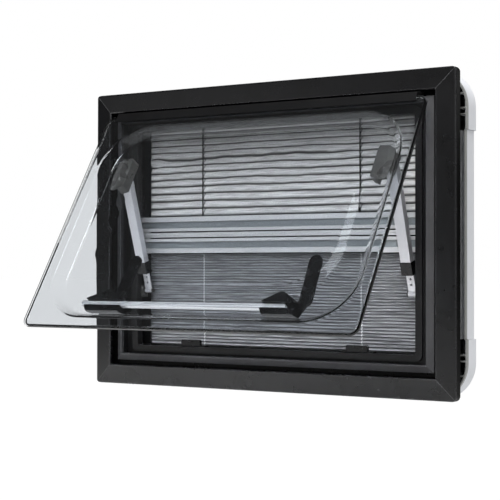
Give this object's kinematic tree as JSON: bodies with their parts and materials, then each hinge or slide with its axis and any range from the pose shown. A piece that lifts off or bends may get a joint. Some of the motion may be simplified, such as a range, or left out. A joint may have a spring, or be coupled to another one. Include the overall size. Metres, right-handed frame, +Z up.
{
  "type": "caravan window",
  "caption": "Top-hung push-out caravan window: black flange frame, domed double acrylic flap on two telescopic stays, pull bar with latches, pleated blind and fly screen.",
  "frame": {"origin": "on the wall face of the outer flange, at mid width, halfway up the land of the bottom rail", "axes": "+Z up, +Y into the room through the wall, +X to the right seen from outside"},
  "size_m": [0.734, 0.3337, 0.54],
  "materials": {
    "black_plastic": "fine satin grain",
    "grey_plastic": "satin",
    "rubber": "matte",
    "pale_plastic": "satin",
    "acrylic": "clear, lightly tinted",
    "aluminium": "anodised satin",
    "pleated_cloth": "folded cloth",
    "screen_mesh": "fine net"
  },
  "bodies": {
    "frame": {"face_top": "black_plastic", "face_bottom": "black_plastic", "face_left": "black_plastic", "face_right": "black_plastic", "casing_top": "black_plastic", "casing_bottom": "black_plastic", "casing_left": "black_plastic", "casing_right": "black_plastic", "weather_seal": "rubber", "opening_trim": "black_plastic", "hinge_rail": "black_plastic", "catch_left": "black_plastic", "catch_right": "black_plastic", "stay_foot_left": "grey_plastic", "stay_foot_right": "grey_plastic", "inner_corner_top_left": "pale_plastic", "inner_corner_top_right": "pale_plastic", "inner_corner_bottom_left": "pale_plastic", "inner_corner_bottom_right": "pale_plastic", "inner_profile_top": "pale_plastic", "inner_profile_bottom": "pale_plastic", "inner_profile_left": "pale_plastic", "inner_profile_right": "pale_plastic", "blind_cassette": "black_plastic", "screen_cassette": "black_plastic", "guide_left": "black_plastic", "guide_right": "black_plastic", "pleated_blind": "pleated_cloth", "fly_screen": "screen_mesh", "blind_rail": "aluminium", "screen_rail": "aluminium"},
    "flap": {"pane_outer_sheet": "acrylic", "pane_inner_sheet": "pale_plastic", "pane_hinge_strip": "black_plastic", "pull_bar": "aluminium", "latch_block_left": "black_plastic", "latch_block_right": "black_plastic", "stay_bracket_left": "grey_plastic", "stay_bracket_right": "grey_plastic"},
    "latch_lever_left": {"latch_lever_left": "black_plastic"},
    "latch_lever_right": {"latch_lever_right": "black_plastic"},
    "stay_tube_left": {"stay_tube_left": "aluminium", "stay_collar_left": "rubber"},
    "stay_rod_left": {"stay_rod_left": "aluminium"},
    "stay_tube_right": {"stay_tube_right": "aluminium", "stay_collar_right": "rubber"},
    "stay_rod_right": {"stay_rod_right": "aluminium"}
  },
  "joints": [
    {"name": "flap_hinge", "type": "hinge", "parent": "frame", "child": "flap", "pos_m": [0, -0.023, 0.4825], "axis": [-1, 0, 0], "range_deg": [-31.9, 18.1]},
    {"name": "lever_left_turn", "type": "hinge", "parent": "flap", "child": "latch_lever_left", "pos_m": [-0.171, -0.19013, 0.13186], "axis": [0, 0.849, -0.5284], "range_deg": [0, 90]},
    {"name": "lever_right_turn", "type": "hinge", "parent": "flap", "child": "latch_lever_right", "pos_m": [0.171, -0.19013, 0.13186], "axis": [0, -0.849, 0.5284], "range_deg": [0, 90]},
    {"name": "tube_left_pivot", "type": "hinge", "parent": "flap", "child": "stay_tube_left", "pos_m": [-0.271, -0.04597, 0.37936], "axis": [1, 0, 0], "range_deg": [-45.04, 25.61]},
    {"name": "rod_left_pivot", "type": "hinge", "parent": "frame", "child": "stay_rod_left", "pos_m": [-0.271, 0.0237, 0.1615], "axis": [1, 0, 0], "range_deg": [-13.08, 7.46]},
    {"name": "tube_right_pivot", "type": "hinge", "parent": "flap", "child": "stay_tube_right", "pos_m": [0.271, -0.04597, 0.37936], "axis": [1, 0, 0], "range_deg": [-45.04, 25.61]},
    {"name": "rod_right_pivot", "type": "hinge", "parent": "frame", "child": "stay_rod_right", "pos_m": [0.271, 0.0237, 0.1615], "axis": [1, 0, 0], "range_deg": [-13.08, 7.46]}
  ],
  "couplings": [
    {"joint": "tube_left_pivot", "follows": "flap_hinge", "ratio": 1.4074},
    {"joint": "rod_left_pivot", "follows": "flap_hinge", "ratio": 0.4074},
    {"joint": "tube_right_pivot", "follows": "flap_hinge", "ratio": 1.4074},
    {"joint": "rod_right_pivot", "follows": "flap_hinge", "ratio": 0.4074}
  ]
}
